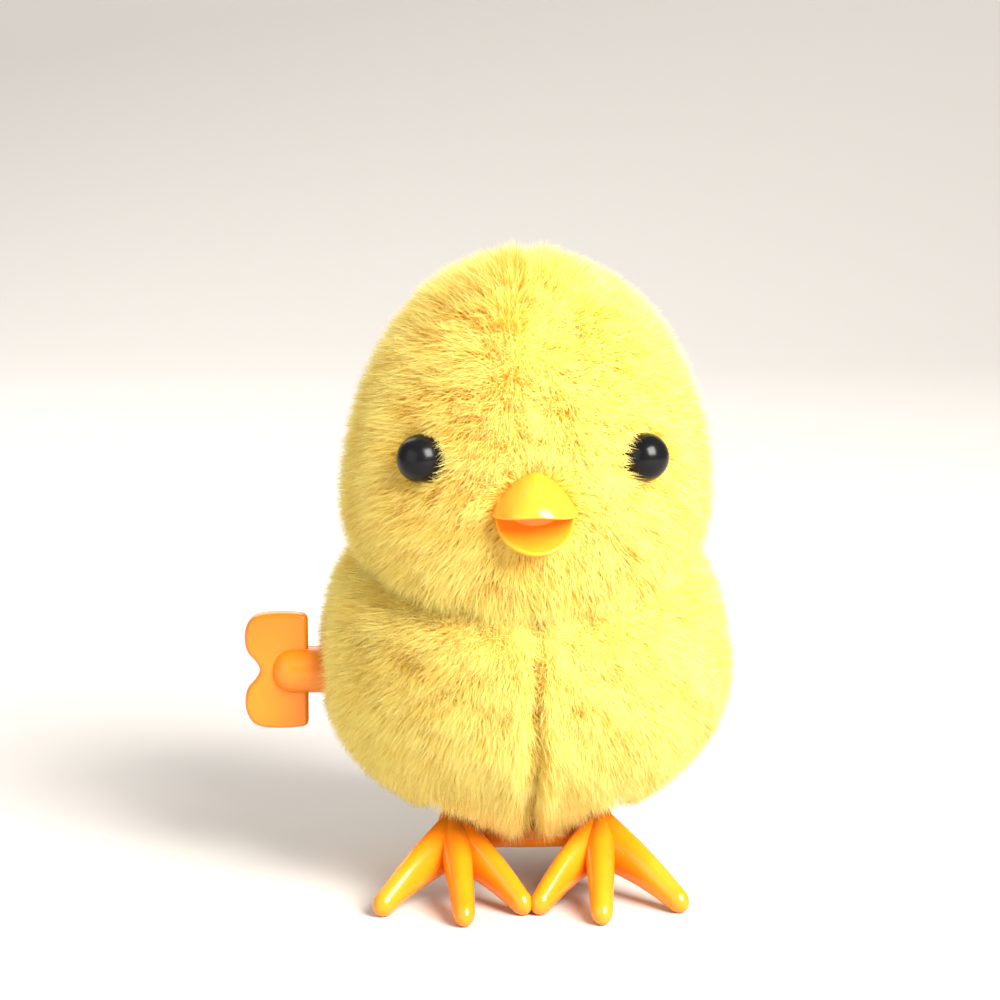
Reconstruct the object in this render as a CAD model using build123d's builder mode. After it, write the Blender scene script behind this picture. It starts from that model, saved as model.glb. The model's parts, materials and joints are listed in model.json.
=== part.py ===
from build123d import *
import os
from math import acos, cos, degrees, pi, radians, sin, sqrt, tan

# A wind-up hopping chick: a plush bird on a sprung clockwork that kicks its moulded feet.
# Millimetres. +Z is up, the beak looks along -Y, X = 0 is the plane between left and right.
# The origin is on the ground, under the pad where the two inner toes meet.
# "Left" and "right" are the chick's own: its left is +X.

# ---- Plush body: upright egg shapes, each a lower and an upper half-ellipse turned round ----
body_radius = 30.6
body_low_z = 5.8
body_wide_z = 33.0
body_top_z = 66.8
body_axis_y = 22.5

head_radius = 27.0
head_low_z = 31.5
head_wide_z = 59.5
head_top_z = 95.8
head_axis_y = 18.0

panel_thickness = 4.0      # woven backing with its dense pile
neck_seam_y = 21.0
neck_seam_z = 51.1
neck_seam_tilt = 15.0      # degrees, lower at the front
side_seam_y = 30.0         # between chest and back panels

# ---- Face ----
eye_diameter = 7.0
eye_height = 4.4
eye_round = 3.4
eye_spread = 16.5          # from the middle plane
eye_z = 68.2
seat_clearance = 0.15
seat_depth = 2.0           # how far eyes and beak press into the pile
stem_radius = 1.2
stem_length = 6.5
washer_radius = 4.0
washer_thickness = 1.0
beak_z = 60.8
beak_half_width = 6.8
beak_reach = 9.5           # from its seat to the upper tip
beak_upper_height = 6.0
beak_lower_height = 5.2
beak_overhang = 0.4            # how much wider the upper mandible is, each side
beak_overbite = 1.8            # how far it reaches past the lower one
base_inset = 0.5               # the beak's base inside its outline
beak_wall = 1.0
mouth_gap = 0.8

# ---- Clockwork ----
gear_module = 0.5
pressure_angle = 25.0
drive_teeth = 36
pinion_teeth = 12
wheel_teeth = 30
tooth_play = 0.08          # taken off each tooth's thickness
addendum = 0.8 * gear_module
dedendum = 1.1 * gear_module

arbor_y = 21.0
arbor_z = 32.5
arbor_radius = 1.5
pin_radius = 0.9           # idler and cam shafts
idler_angle = -30.0        # from the arbor, degrees above +Y
cam_angle = 215.0          # from the idler

box_half = 9.0
box_wall = 1.4
gear_room = 0.6            # between a gear's tips and the box
side_play = 0.3            # along a shaft, between a turning piece and what is beside it
shaft_play = 0.05          # radial, running fit
shaft_end_depth = 0.2      # a shaft's end below the casing's outer face
drive_width = 2.4
wheel_width = 2.0
cam_width = 2.4
cam_radius = 4.2
cam_throw = 1.2            # the snail's rise over one turn
snail_start = -60.0        # where its step is, in degrees
snail_steps = 12
screw_radius = 0.95
screw_head_radius = 1.8
screw_head_height = 1.0
screw_head_clearance = 0.1
screw_slot_width = 0.4
post_radius = 2.4
pivot_post_radius = 2.6

ratchet_radius = 3.3
ratchet_step = 0.8
ratchet_teeth = 8
ratchet_width = 1.0
recess_radius = 6.0
peg_radius = 0.6
pawl_eye_radius = 0.9
pawl_tip_radius = 0.25
pawl_tip_height = 0.47         # its middle above the ratchet's roots
pawl_tip_angle = 98.0

spring_turns = 7
spring_points = 10             # along each turn
spring_inner_gap = 0.4
spring_outer_gap = 0.2
spring_strip = 0.35
spring_width = 4.6

# ---- Key ----
hub_radius = 3.5
hub_end_x = body_radius + 7.3
key_blade_in_x = body_radius + 1.8
key_blade_out_x = body_radius + 10.9
key_half_height = 8.7
key_blade_thickness = 2.4
key_waist_depth = 2.0
key_lobe_low = 2.9         # from the middle to the lobe's widest place
key_outer_round = 3.4
key_lobe_round = 1.8
key_waist_round = 1.3
key_inner_round = 1.0
key_edge_round = 0.5
hub_dome = 2.4
hub_clearance = 0.6        # between the hub and the plush it passes through

# ---- Feet ----
leg_gap = 0.3              # between a leg and the clockwork's side
leg_thickness = 3.0
pivot_y = 30.5
pivot_z = 14.8
pivot_eye_radius = 3.2
leg_pin_radius = 1.0
leg_pin_overhang = 0.4
ankle_y = 13.5
ankle_z = 8.0
ankle_radius = 3.0
toe_root_radius = 3.8
toe_tip_radius = 1.9
toe_width = 4.1
toe_edge = 1.55
sole_flat = 0.35           # how much of each tip is cut flat to stand on
middle_tip = (9.9, -4.6)
outer_tip = (21.9, 0.6)
inner_tip = (0.6, 0.9)
rear_tip = (9.9, 37.0)
bridge_thickness = 3.0
bridge_depth = 6.0
follower_gap = 0.4         # between the cam's largest radius and the pad that it kicks
follower_depth = 5.0
follower_room = 3.0        # before and behind it, in the slot under the cam
return_wire = 0.25
return_coil_radius = 1.6
return_pitch = 0.9
coil_end_gap = 0.9         # between the coil and what is above and below it
spring_drop = 4.5          # its upper end below the cam's middle
spring_y = 16.2

# ---- Opening under the body for the feet ----
opening_half_width = 15.3
opening_front_y = 6.0
opening_back_y = 39.0
opening_top_z = 23.3
opening_corner = 5.0
well_clearance = 0.5       # between the clockwork and the stuffing


# ---- Where the shafts stand, as (y, z) ----
def polar(centre, distance, angle):
    """The point at a distance and an angle in degrees from a centre."""
    return (centre[0] + distance * cos(radians(angle)), centre[1] + distance * sin(radians(angle)))


arbor_at = (arbor_y, arbor_z)
drive_radius = gear_module * drive_teeth / 2
pinion_radius = gear_module * pinion_teeth / 2
wheel_radius = gear_module * wheel_teeth / 2
idler_at = polar(arbor_at, drive_radius + pinion_radius, idler_angle)
cam_at = polar(idler_at, wheel_radius + pinion_radius, cam_angle)
pivot_at = (pivot_y, pivot_z)
post_reach = drive_radius + addendum + gear_room + post_radius
screws_at = [polar(arbor_at, post_reach, angle) for angle in (45, 135, 233)]

# ---- Places along X, from the chick's right (-X) to its left ----
room_half = box_half - box_wall
spring_x = -room_half + side_play
ratchet_x = spring_x + spring_width + side_play
drive_x = ratchet_x
drive_end_x = drive_x + ratchet_width + side_play + drive_width / 2
wheel_x = drive_end_x + side_play
wheel_end_x = wheel_x + wheel_width
cam_x = wheel_end_x + side_play
cam_end_x = cam_x + cam_width
leg_in_x = box_half + leg_gap
leg_out_x = leg_in_x + leg_thickness

os.makedirs("parts", exist_ok=True)


def save(part, name):
    """Label a finished piece and write it."""
    part.label = name
    export_step(part, f"parts/{name}.step")


# ======================= Plush =======================
def egg(radius, low, wide, top, axis_y):
    """Upright egg: a lower and an upper half-ellipse in one smooth profile, turned round its axis."""
    profile = []
    for angle in range(-90, 91, 15):
        height = top - wide if angle > 0 else wide - low
        profile.append((radius * cos(radians(angle)), wide + height * sin(radians(angle))))
    with BuildPart() as solid:
        with BuildSketch(Plane.XZ.offset(-axis_y)):
            with BuildLine():
                side = Spline(*profile, tangents=[(1, 0), (-1, 0)], tangent_scalars=[1, 1])
                Line(side @ 1, side @ 0)
            make_face()
        revolve(axis=Axis((0, axis_y, 0), (0, 0, 1)))
    return solid.part


def body_egg(inset):
    return egg(body_radius - inset, body_low_z + inset, body_wide_z, body_top_z - inset, body_axis_y)


def head_egg(inset):
    return egg(head_radius - inset, head_low_z + inset, head_wide_z, head_top_z - inset, head_axis_y)


def head_front_y(x, z, inset=0.0):
    """Y of the head's front surface at a given x and z."""
    half_height = (head_top_z if z > head_wide_z else 2 * head_wide_z - head_low_z) - head_wide_z - inset
    ring = (head_radius - inset) * sqrt(1 - ((z - head_wide_z) / half_height) ** 2)
    return head_axis_y - sqrt(ring ** 2 - x ** 2)


def seat_plane(x, z):
    """Plane on the head's surface, pushed in by the seat depth, facing outwards."""
    y = head_front_y(x, z)
    tall = (head_top_z if z > head_wide_z else 2 * head_wide_z - head_low_z) - head_wide_z
    round_part = Vector(x, y - head_axis_y, 0) / head_radius ** 2
    normal = round_part + Vector(0, 0, (z - head_wide_z) / tall ** 2)
    surface = Plane(origin=(x, y, z), x_dir=Vector(-(y - head_axis_y), x, 0), z_dir=normal)
    return surface.offset(-seat_depth)


neck_seam = Plane(
    origin=(0, neck_seam_y, neck_seam_z),
    z_dir=(0, -sin(radians(neck_seam_tilt)), cos(radians(neck_seam_tilt))),
)
side_seam = Plane(origin=(0, side_seam_y, 0), z_dir=(0, 1, 0))
eye_seats = {"left": seat_plane(eye_spread, eye_z), "right": seat_plane(-eye_spread, eye_z)}
beak_seat = Plane(
    origin=(0, head_front_y(0, beak_z) + seat_depth, beak_z), x_dir=(1, 0, 0), z_dir=(0, -1, 0)
)

with BuildPart() as leg_opening:
    with BuildSketch():
        with Locations((0, (opening_front_y + opening_back_y) / 2)):
            RectangleRounded(2 * opening_half_width, opening_back_y - opening_front_y, opening_corner)
    extrude(amount=opening_top_z)

with BuildPart() as hub_tunnel:
    with BuildSketch(Plane.YZ):
        with Locations(arbor_at):
            Circle(hub_radius + hub_clearance)
    extrude(amount=-hub_end_x)

washer_level = seat_depth - panel_thickness    # a washer's front, seen from its seat

with BuildPart() as face_pockets:
    for seat, pocket_radius in [(place, eye_diameter / 2) for place in eye_seats.values()] + [
        (beak_seat, beak_half_width)
    ]:
        with BuildSketch(seat):
            Circle(pocket_radius + seat_clearance)
        extrude(amount=2 * seat_depth)
        with BuildSketch(seat):
            Circle(stem_radius)
        extrude(amount=-stem_length)
        with BuildSketch(seat.offset(washer_level)):
            Circle(washer_radius)
        extrude(amount=-washer_thickness)

with BuildPart() as head_shell:
    add(head_egg(0))
    add(head_egg(panel_thickness), mode=Mode.SUBTRACT)
    add(face_pockets.part, mode=Mode.SUBTRACT)
    split(bisect_by=neck_seam, keep=Keep.TOP)

with BuildPart() as body_shell:
    add(body_egg(0))
    add(body_egg(panel_thickness), mode=Mode.SUBTRACT)
    add(leg_opening.part, mode=Mode.SUBTRACT)
    add(hub_tunnel.part, mode=Mode.SUBTRACT)
    split(bisect_by=neck_seam, keep=Keep.BOTTOM)

for side, keep in (("left", Keep.TOP), ("right", Keep.BOTTOM)):
    with BuildPart() as head_panel:
        add(head_shell.part)
        split(bisect_by=Plane.YZ, keep=keep)
    save(head_panel.part, f"head_panel_{side}")

    with BuildPart() as chest_panel:
        add(body_shell.part)
        split(bisect_by=side_seam, keep=Keep.BOTTOM)
        split(bisect_by=Plane.YZ, keep=keep)
    save(chest_panel.part, f"chest_panel_{side}")

with BuildPart() as back_panel:
    add(body_shell.part)
    split(bisect_by=side_seam, keep=Keep.TOP)
save(back_panel.part, "back_panel")


# ======================= Clockwork casing =======================
def train_outline(grow):
    """Hull round the gears, the screw posts and the leg pin, grown beyond their room."""
    rounds = [
        (arbor_at, drive_radius + addendum + gear_room),
        (idler_at, wheel_radius + addendum + gear_room),
        (cam_at, cam_radius + gear_room),
        (pivot_at, pivot_eye_radius - box_wall),
    ] + [(place, post_radius - box_wall) for place in screws_at]
    for place, radius in rounds:
        with Locations(place):
            Circle(radius + grow)
    make_hull()


def box_half_shell(side):
    """One half of the casing: side is 1 for the left half, -1 for the right."""
    with BuildPart() as shell:
        with BuildSketch(Plane.YZ):
            train_outline(box_wall)
        extrude(amount=side * box_half)
        with BuildSketch(Plane.YZ):
            train_outline(0)
        extrude(amount=side * room_half, mode=Mode.SUBTRACT)
        with BuildSketch(Plane.YZ):
            with Locations(*screws_at):
                Circle(post_radius)
            with Locations(pivot_at):
                Circle(pivot_post_radius)
        extrude(amount=side * box_half)
        with BuildSketch(Plane.YZ):
            with Locations(pivot_at):
                Circle(leg_pin_radius)
            with Locations(arbor_at):
                Circle(arbor_radius + shaft_play)
            with Locations(idler_at, cam_at):
                Circle(pin_radius + shaft_play)
        extrude(amount=side * box_half, mode=Mode.SUBTRACT)
        with BuildSketch(Plane.YZ):
            with Locations(*screws_at):
                Circle(screw_radius)
        extrude(amount=side * (box_half if side > 0 else room_half), mode=Mode.SUBTRACT)
        if side > 0:
            with BuildSketch(Plane.YZ.offset(box_half)):
                with Locations(*screws_at):
                    Circle(screw_head_radius + screw_head_clearance)
            extrude(amount=-screw_head_height, mode=Mode.SUBTRACT)
            with BuildSketch(Plane.YZ.offset(cam_x - side_play)):
                with Locations((cam_at[0], pivot_z)):
                    Rectangle(follower_depth + follower_room, 2 * cam_radius)
            extrude(amount=cam_width + 2 * side_play, mode=Mode.SUBTRACT)
    return shell.part


save(box_half_shell(1), "gearbox_left")
save(box_half_shell(-1), "gearbox_right")

with BuildPart() as gearbox_screws:
    with BuildSketch(Plane.YZ.offset(box_half)):
        with Locations(*screws_at):
            Circle(screw_head_radius)
    extrude(amount=-screw_head_height)
    with BuildSketch(Plane.YZ.offset(box_half - screw_head_height)):
        with Locations(*screws_at):
            Circle(screw_radius)
    extrude(amount=screw_head_height - box_half - room_half + 1)
    with BuildSketch(Plane.YZ.offset(box_half)):
        with Locations(*screws_at):
            Rectangle(2 * screw_radius, screw_slot_width)
            Rectangle(screw_slot_width, 2 * screw_radius)
    extrude(amount=-0.6, mode=Mode.SUBTRACT)
save(gearbox_screws.part, "gearbox_screws")


# ======================= Gears =======================
def involute(angle):
    """The involute function of an angle in radians."""
    return tan(angle) - angle


def gear_points(teeth, turned):
    """Points of a closed involute outline, with the middle of one tooth at `turned` degrees."""
    pitch = gear_module * teeth / 2
    base = pitch * cos(radians(pressure_angle))
    root = pitch - dedendum
    tip = pitch + addendum
    half_thickness = (pi * gear_module / 2 - tooth_play) / 2

    def half_angle(radius):
        slope = acos(min(1.0, base / radius))
        return half_thickness / pitch + involute(radians(pressure_angle)) - involute(slope)

    start = max(base, root)
    flank = [start + (tip - start) * step / 3 for step in range(4)]
    radii = ([root] if root < base else []) + flank
    points = []
    for tooth in range(teeth):
        middle = radians(turned) + 2 * pi * tooth / teeth
        for side, order in ((-1, radii), (1, radii[::-1])):
            for radius in order:
                angle = middle + side * half_angle(max(radius, base))
                points.append((radius * cos(angle), radius * sin(angle)))
    return points


def toothed(teeth, turned, place, x, width):
    """A spur gear without its bore, from x to x + width."""
    with BuildPart() as gear:
        with BuildSketch(Plane(origin=(x, *place), x_dir=(0, 1, 0), z_dir=(1, 0, 0))):
            with BuildLine():
                Polyline(*gear_points(teeth, turned), close=True)
            make_face()
        extrude(amount=width)
    return gear.part


drive_turned = idler_angle
idler_pinion_turned = idler_angle + 180 + 180 / pinion_teeth
wheel_turned = cam_angle
cam_pinion_turned = cam_angle + 180 + 180 / pinion_teeth
recess_end_x = drive_x + ratchet_width + side_play

with BuildPart() as drive_gear:
    add(toothed(drive_teeth, drive_turned, arbor_at, drive_x, drive_end_x - drive_x))
    with BuildSketch(Plane.YZ.offset(drive_x)):
        with Locations(arbor_at):
            Circle(recess_radius)
    extrude(amount=recess_end_x - drive_x, mode=Mode.SUBTRACT)
    pawl_peg_at = polar(arbor_at, 5.0, 130)
    with BuildSketch(Plane.YZ.offset(drive_x)):
        with Locations(pawl_peg_at):
            Circle(peg_radius)
    extrude(amount=recess_end_x - drive_x)
    with BuildSketch(Plane.YZ.offset(drive_x)):
        with Locations(arbor_at):
            Circle(arbor_radius)
    extrude(amount=drive_end_x - drive_x, mode=Mode.SUBTRACT)
save(drive_gear.part, "drive_gear")

with BuildPart() as ratchet_wheel:
    with BuildSketch(Plane(origin=(ratchet_x, *arbor_at), x_dir=(0, 1, 0), z_dir=(1, 0, 0))):
        with BuildLine():
            saw = []
            for tooth in range(ratchet_teeth):
                saw.append(polar((0, 0), ratchet_radius - ratchet_step, 360 * tooth / ratchet_teeth))
                saw.append(polar((0, 0), ratchet_radius, 360 * (tooth + 1) / ratchet_teeth))
            Polyline(*saw, close=True)
        make_face()
        Circle(arbor_radius, mode=Mode.SUBTRACT)
    extrude(amount=ratchet_width)
save(ratchet_wheel.part, "ratchet_wheel")

with BuildPart() as ratchet_pawl:
    with BuildSketch(Plane.YZ.offset(drive_x)):
        with Locations(pawl_peg_at):
            Circle(pawl_eye_radius)
        with Locations(polar(arbor_at, ratchet_radius - ratchet_step + pawl_tip_height, pawl_tip_angle)):
            Circle(pawl_tip_radius)
        make_hull()
        with Locations(pawl_peg_at):
            Circle(peg_radius, mode=Mode.SUBTRACT)
    extrude(amount=ratchet_width)
save(ratchet_pawl.part, "ratchet_pawl")

with BuildPart() as idler_gear:
    add(toothed(pinion_teeth, idler_pinion_turned, idler_at, drive_x, wheel_x - drive_x))
    add(toothed(wheel_teeth, wheel_turned, idler_at, wheel_x, wheel_width))
    with BuildSketch(Plane.YZ.offset(drive_x)):
        with Locations(idler_at):
            Circle(pin_radius)
    extrude(amount=wheel_end_x - drive_x, mode=Mode.SUBTRACT)
save(idler_gear.part, "idler_gear")

with BuildPart() as cam_gear:
    add(toothed(pinion_teeth, cam_pinion_turned, cam_at, wheel_x, cam_x - wheel_x))
    with BuildSketch(Plane(origin=(cam_x, *cam_at), x_dir=(0, 1, 0), z_dir=(1, 0, 0))):
        with BuildLine():
            snail = [
                polar((0, 0), cam_radius - cam_throw * (1 - turn), snail_start - 360 * turn)
                for turn in [step / snail_steps for step in range(snail_steps + 1)]
            ]
            rise = Spline(*snail)
            Line(rise @ 1, rise @ 0)
        make_face()
    extrude(amount=cam_width)
    with BuildSketch(Plane.YZ.offset(wheel_x)):
        with Locations(cam_at):
            Circle(pin_radius)
    extrude(amount=cam_end_x - wheel_x, mode=Mode.SUBTRACT)
save(cam_gear.part, "cam_gear")


def shaft(place, radius, start, end, name):
    """A plain steel shaft from x = start to x = end."""
    with BuildPart() as rod:
        with BuildSketch(Plane.YZ.offset(start)):
            with Locations(place):
                Circle(radius)
        extrude(amount=end - start)
    save(rod.part, name)


shaft_half = box_half - shaft_end_depth
pin_half = leg_out_x + leg_pin_overhang
shaft(idler_at, pin_radius, -shaft_half, shaft_half, "idler_shaft")
shaft(cam_at, pin_radius, -shaft_half, shaft_half, "cam_shaft")
shaft(arbor_at, arbor_radius, -key_blade_in_x, shaft_half, "winding_arbor")
shaft(pivot_at, leg_pin_radius, -pin_half, pin_half, "leg_pin")


# ======================= Springs =======================
def spiral(offset):
    """Points of an Archimedean spiral from the arbor out to the casing, moved out by an offset."""
    inner = arbor_radius + spring_inner_gap
    outer = drive_radius - spring_outer_gap
    steps = spring_turns * spring_points
    return [
        polar((0, 0), inner + (outer - inner) * step / steps + offset, 360 * spring_turns * step / steps)
        for step in range(steps + 1)
    ]


with BuildPart() as mainspring:
    with BuildSketch(Plane(origin=(spring_x, *arbor_at), x_dir=(0, 1, 0), z_dir=(1, 0, 0))):
        with BuildLine():
            inside = Spline(*spiral(0))
            outside = Spline(*spiral(spring_strip))
            Line(inside @ 0, outside @ 0)
            Line(inside @ 1, outside @ 1)
        make_face()
    extrude(amount=spring_width)
save(mainspring.part, "mainspring")

# ======================= Key =======================
key_level = Plane(origin=(0, arbor_y, arbor_z), x_dir=(1, 0, 0), z_dir=(0, -1, 0))

with BuildPart() as key_blade:
    with BuildSketch(key_level.offset(-key_blade_thickness / 2)) as blade:
        with BuildLine():
            wing = Polyline(
                (key_waist_depth - key_blade_out_x, 0),
                (-key_blade_out_x, key_lobe_low),
                (-key_blade_out_x, key_half_height),
                (-key_blade_in_x, key_half_height),
                (-key_blade_in_x, 0),
            )
            mirror(wing, about=Plane.XZ)
        make_face()
        outer = blade.vertices().group_by(Axis.X)[0].sort_by(Axis.Y)
        waist = blade.vertices().group_by(Axis.X)[1]
        inner = blade.vertices().group_by(Axis.X)[-1]
        fillet([outer[0], outer[-1]], key_outer_round)
        fillet(outer[1:-1], key_lobe_round)
        fillet(waist, key_waist_round)
        fillet(inner, key_inner_round)
    extrude(amount=key_blade_thickness)
    fillet(key_blade.faces().sort_by(Axis.Y)[0].edges(), key_edge_round)
    fillet(key_blade.faces().sort_by(Axis.Y)[-1].edges(), key_edge_round)

with BuildPart() as winding_key:
    with BuildSketch(Plane.YZ.offset(-hub_end_x)):
        with Locations(arbor_at):
            Circle(hub_radius)
    extrude(amount=hub_end_x - box_half - side_play)
    fillet(winding_key.edges().sort_by(Axis.X)[0], hub_dome)
    add(key_blade.part)
    with BuildSketch(Plane.YZ.offset(-key_blade_in_x)):
        with Locations(arbor_at):
            Circle(arbor_radius)
    extrude(amount=key_blade_in_x, mode=Mode.SUBTRACT)
save(winding_key.part, "winding_key")


# ======================= Feet: one moulding =======================
def toe(side, tip):
    """A deep tapered toe from the ankle to a round tip, edges rounded, seen from above at (x, y)."""
    root = Vector(side * ankle_x, ankle_y if tip[1] < ankle_y else rear_root_y, 0)
    run = Vector(side * tip[0], tip[1], 0) - root
    along = run.normalized()
    across = Vector(0, 0, 1).cross(along)
    with BuildPart() as solid:
        with BuildSketch(Plane(origin=root, x_dir=along, z_dir=-across).offset(-toe_width / 2)):
            with Locations((0, ankle_z)):
                Circle(toe_root_radius)
            with Locations((run.length, toe_tip_radius - sole_flat)):
                Circle(toe_tip_radius)
            make_hull()
        extrude(amount=toe_width)
        fillet(solid.edges().filter_by(Plane(origin=root, z_dir=across)), toe_edge)
    return solid.part


ankle_x = leg_in_x + leg_thickness / 2
rear_root_y = ankle_y + 4.0

with BuildPart() as feet:
    for side in (-1, 1):
        for tip in (middle_tip, outer_tip, inner_tip, rear_tip):
            add(toe(side, tip))
        with BuildSketch(Plane.YZ.offset(side * leg_in_x)):
            with Locations((ankle_y, ankle_z), (rear_root_y, ankle_z)):
                Circle(ankle_radius)
            make_hull()
        extrude(amount=side * leg_thickness)
        with BuildSketch(Plane.YZ.offset(side * leg_in_x)):
            with Locations((rear_root_y, ankle_z)):
                Circle(ankle_radius)
            with Locations(pivot_at):
                Circle(pivot_eye_radius)
            make_hull()
        extrude(amount=side * leg_thickness)
    with BuildSketch(Plane.YZ.offset(-leg_in_x)):
        with Locations((ankle_y + bridge_depth / 2, ankle_z)):
            RectangleRounded(bridge_depth, bridge_thickness, bridge_thickness / 2 - 0.1)
    extrude(amount=2 * leg_in_x)
    pad_top = cam_at[1] - cam_radius - follower_gap
    with BuildSketch(Plane.YZ.offset(cam_x)):
        with Locations((cam_at[0], pad_top)):
            Rectangle(follower_depth, pad_top - ankle_z, align=(Align.CENTER, Align.MAX))
        with Locations(((ankle_y + cam_at[0] + follower_depth / 2) / 2, ankle_z)):
            Rectangle(cam_at[0] + follower_depth / 2 - ankle_y, bridge_thickness)
    extrude(amount=cam_width)
    with BuildSketch(Plane.YZ.offset(-leg_out_x)):
        with Locations(pivot_at):
            Circle(leg_pin_radius + shaft_play)
    extrude(amount=2 * leg_out_x, mode=Mode.SUBTRACT)
    split(bisect_by=Plane.XY, keep=Keep.TOP)
save(feet.part, "feet")


# ======================= Face =======================
def washer(seat):
    """Push-on lock washer on a stem, tight behind the backing."""
    with BuildPart() as ring:
        with BuildSketch(seat.offset(washer_level)):
            Circle(washer_radius)
            Circle(stem_radius, mode=Mode.SUBTRACT)
        extrude(amount=-washer_thickness)
    return ring.part


def eye(seat):
    """Safety eye: a round-edged button on a stem."""
    with BuildPart() as button:
        with BuildSketch(seat):
            Circle(eye_diameter / 2)
        extrude(amount=eye_height)
        rims = button.edges().filter_by(GeomType.CIRCLE)
        fillet(rims.sort_by_distance(seat.offset(eye_height).origin)[0], eye_round)
        with BuildSketch(seat):
            Circle(stem_radius)
        extrude(amount=-stem_length)
    return button.part


for side, seat in eye_seats.items():
    save(eye(seat), f"eye_{side}")
    save(washer(seat), f"eye_washer_{side}")

mouth = Plane(origin=beak_seat.origin, x_dir=(1, 0, 0), z_dir=(0, 0, 1))


def mandible(half_width, reach, height):
    """Half-ellipsoid shell of a mandible, whole above and below the mouth."""
    with BuildPart() as solid:
        Sphere(1)
        scale(by=(half_width, reach, height))
    with BuildPart() as placed:
        add(Location(beak_seat.origin) * solid.part)
        split(bisect_by=beak_seat, keep=Keep.TOP)
    return placed.part


lower_half_width = beak_half_width - beak_overhang
lower_reach = beak_reach - beak_overbite

with BuildPart() as beak:
    add(mandible(beak_half_width, beak_reach, beak_upper_height))
    split(bisect_by=mouth.offset(mouth_gap / 2), keep=Keep.TOP)
    lower = mandible(lower_half_width, lower_reach, beak_lower_height)
    scoop = mandible(lower_half_width - beak_wall, lower_reach - beak_wall, beak_lower_height - beak_wall)
    add(split(lower, bisect_by=mouth.offset(-mouth_gap / 2), keep=Keep.BOTTOM, mode=Mode.PRIVATE))
    add(split(scoop, bisect_by=mouth.offset(-mouth_gap / 2), keep=Keep.BOTTOM, mode=Mode.PRIVATE),
        mode=Mode.SUBTRACT)
    with BuildSketch(beak_seat):
        with Locations((0, (beak_upper_height - beak_lower_height) / 2)):
            Ellipse(beak_half_width - base_inset, (beak_upper_height + beak_lower_height) / 2 - base_inset)
    extrude(amount=beak_wall)
    with BuildSketch(beak_seat):
        Circle(stem_radius)
    extrude(amount=-stem_length)
save(beak.part, "beak")
save(washer(beak_seat), "beak_washer")

# ======================= Filling =======================
with BuildPart() as stems:
    for seat in [*eye_seats.values(), beak_seat]:
        with BuildSketch(seat):
            Circle(washer_radius)
        extrude(amount=washer_level - washer_thickness)
        with BuildSketch(seat):
            Circle(stem_radius)
        extrude(amount=-stem_length)

with BuildPart() as head_filling:
    add(head_egg(panel_thickness))
    add(stems.part, mode=Mode.SUBTRACT)
    split(bisect_by=neck_seam, keep=Keep.TOP)
save(head_filling.part, "head_filling")

with BuildPart() as body_filling:
    add(body_egg(panel_thickness))
    add(leg_opening.part, mode=Mode.SUBTRACT)
    add(hub_tunnel.part, mode=Mode.SUBTRACT)
    with BuildSketch(Plane.YZ.offset(-box_half - well_clearance)):
        train_outline(box_wall + well_clearance)
    extrude(amount=2 * (box_half + well_clearance), mode=Mode.SUBTRACT)
    split(bisect_by=neck_seam, keep=Keep.BOTTOM)
save(body_filling.part, "body_filling")

# ======================= Return spring =======================
coil_low = ankle_z + bridge_thickness / 2 + coil_end_gap
coil_length = cam_at[1] - spring_drop - coil_end_gap - coil_low
with BuildPart() as return_spring:
    with BuildLine(Plane(origin=(0, spring_y, coil_low))) as coil:
        Helix(pitch=return_pitch, height=coil_length, radius=return_coil_radius)
    with BuildSketch(Plane(origin=coil.line @ 0, z_dir=coil.line % 0)):
        Circle(return_wire)
    sweep(path=coil.line, is_frenet=True)
save(return_spring.part, "return_spring")
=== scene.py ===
import json
from math import cos, pi, radians, sin

import bmesh
import bpy
import numpy as np
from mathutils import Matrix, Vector


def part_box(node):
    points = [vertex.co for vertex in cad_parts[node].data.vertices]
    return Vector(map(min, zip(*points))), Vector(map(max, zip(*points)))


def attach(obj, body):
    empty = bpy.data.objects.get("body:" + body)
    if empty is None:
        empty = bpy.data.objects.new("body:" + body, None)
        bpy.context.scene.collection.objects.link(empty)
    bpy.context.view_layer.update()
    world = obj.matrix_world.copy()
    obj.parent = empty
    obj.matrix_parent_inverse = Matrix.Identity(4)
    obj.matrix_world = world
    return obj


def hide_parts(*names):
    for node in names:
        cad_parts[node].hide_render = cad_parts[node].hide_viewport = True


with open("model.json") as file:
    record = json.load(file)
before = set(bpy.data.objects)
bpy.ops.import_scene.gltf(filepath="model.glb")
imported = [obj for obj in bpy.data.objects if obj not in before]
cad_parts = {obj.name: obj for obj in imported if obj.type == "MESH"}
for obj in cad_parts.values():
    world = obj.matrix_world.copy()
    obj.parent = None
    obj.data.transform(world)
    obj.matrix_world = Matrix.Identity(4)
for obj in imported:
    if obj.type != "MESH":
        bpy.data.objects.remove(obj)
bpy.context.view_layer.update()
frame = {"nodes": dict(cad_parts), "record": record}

MM = 0.001

# ---- The plush forms: upright eggs, in the panels' boxes ----
head_low_corner, head_high_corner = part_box("head_panel_left")
chest_low_corner, chest_high_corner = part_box("chest_panel_left")
back_low_corner, back_high_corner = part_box("back_panel")
PILE = 4.3 * MM                      # length of a full strand
PILE_STAND = 2.7 * MM                # backing below the panels' outer face
HEAD = dict(
    radius=head_high_corner[0] - PILE_STAND,
    low=31.5 * MM + PILE_STAND,
    wide=59.5 * MM,
    top=head_high_corner[2] - PILE_STAND,
    axis_y=18.0 * MM,
)
BODY = dict(
    radius=chest_high_corner[0] - PILE_STAND,
    low=chest_low_corner[2] + PILE_STAND - 1.0 * MM,
    wide=33.0 * MM,
    top=66.8 * MM - PILE_STAND,
    axis_y=back_high_corner[1] - chest_high_corner[0],
)
NECK_Y = 21.0 * MM
NECK_Z = 51.1 * MM
NECK_TILT = radians(15.0)
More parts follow.
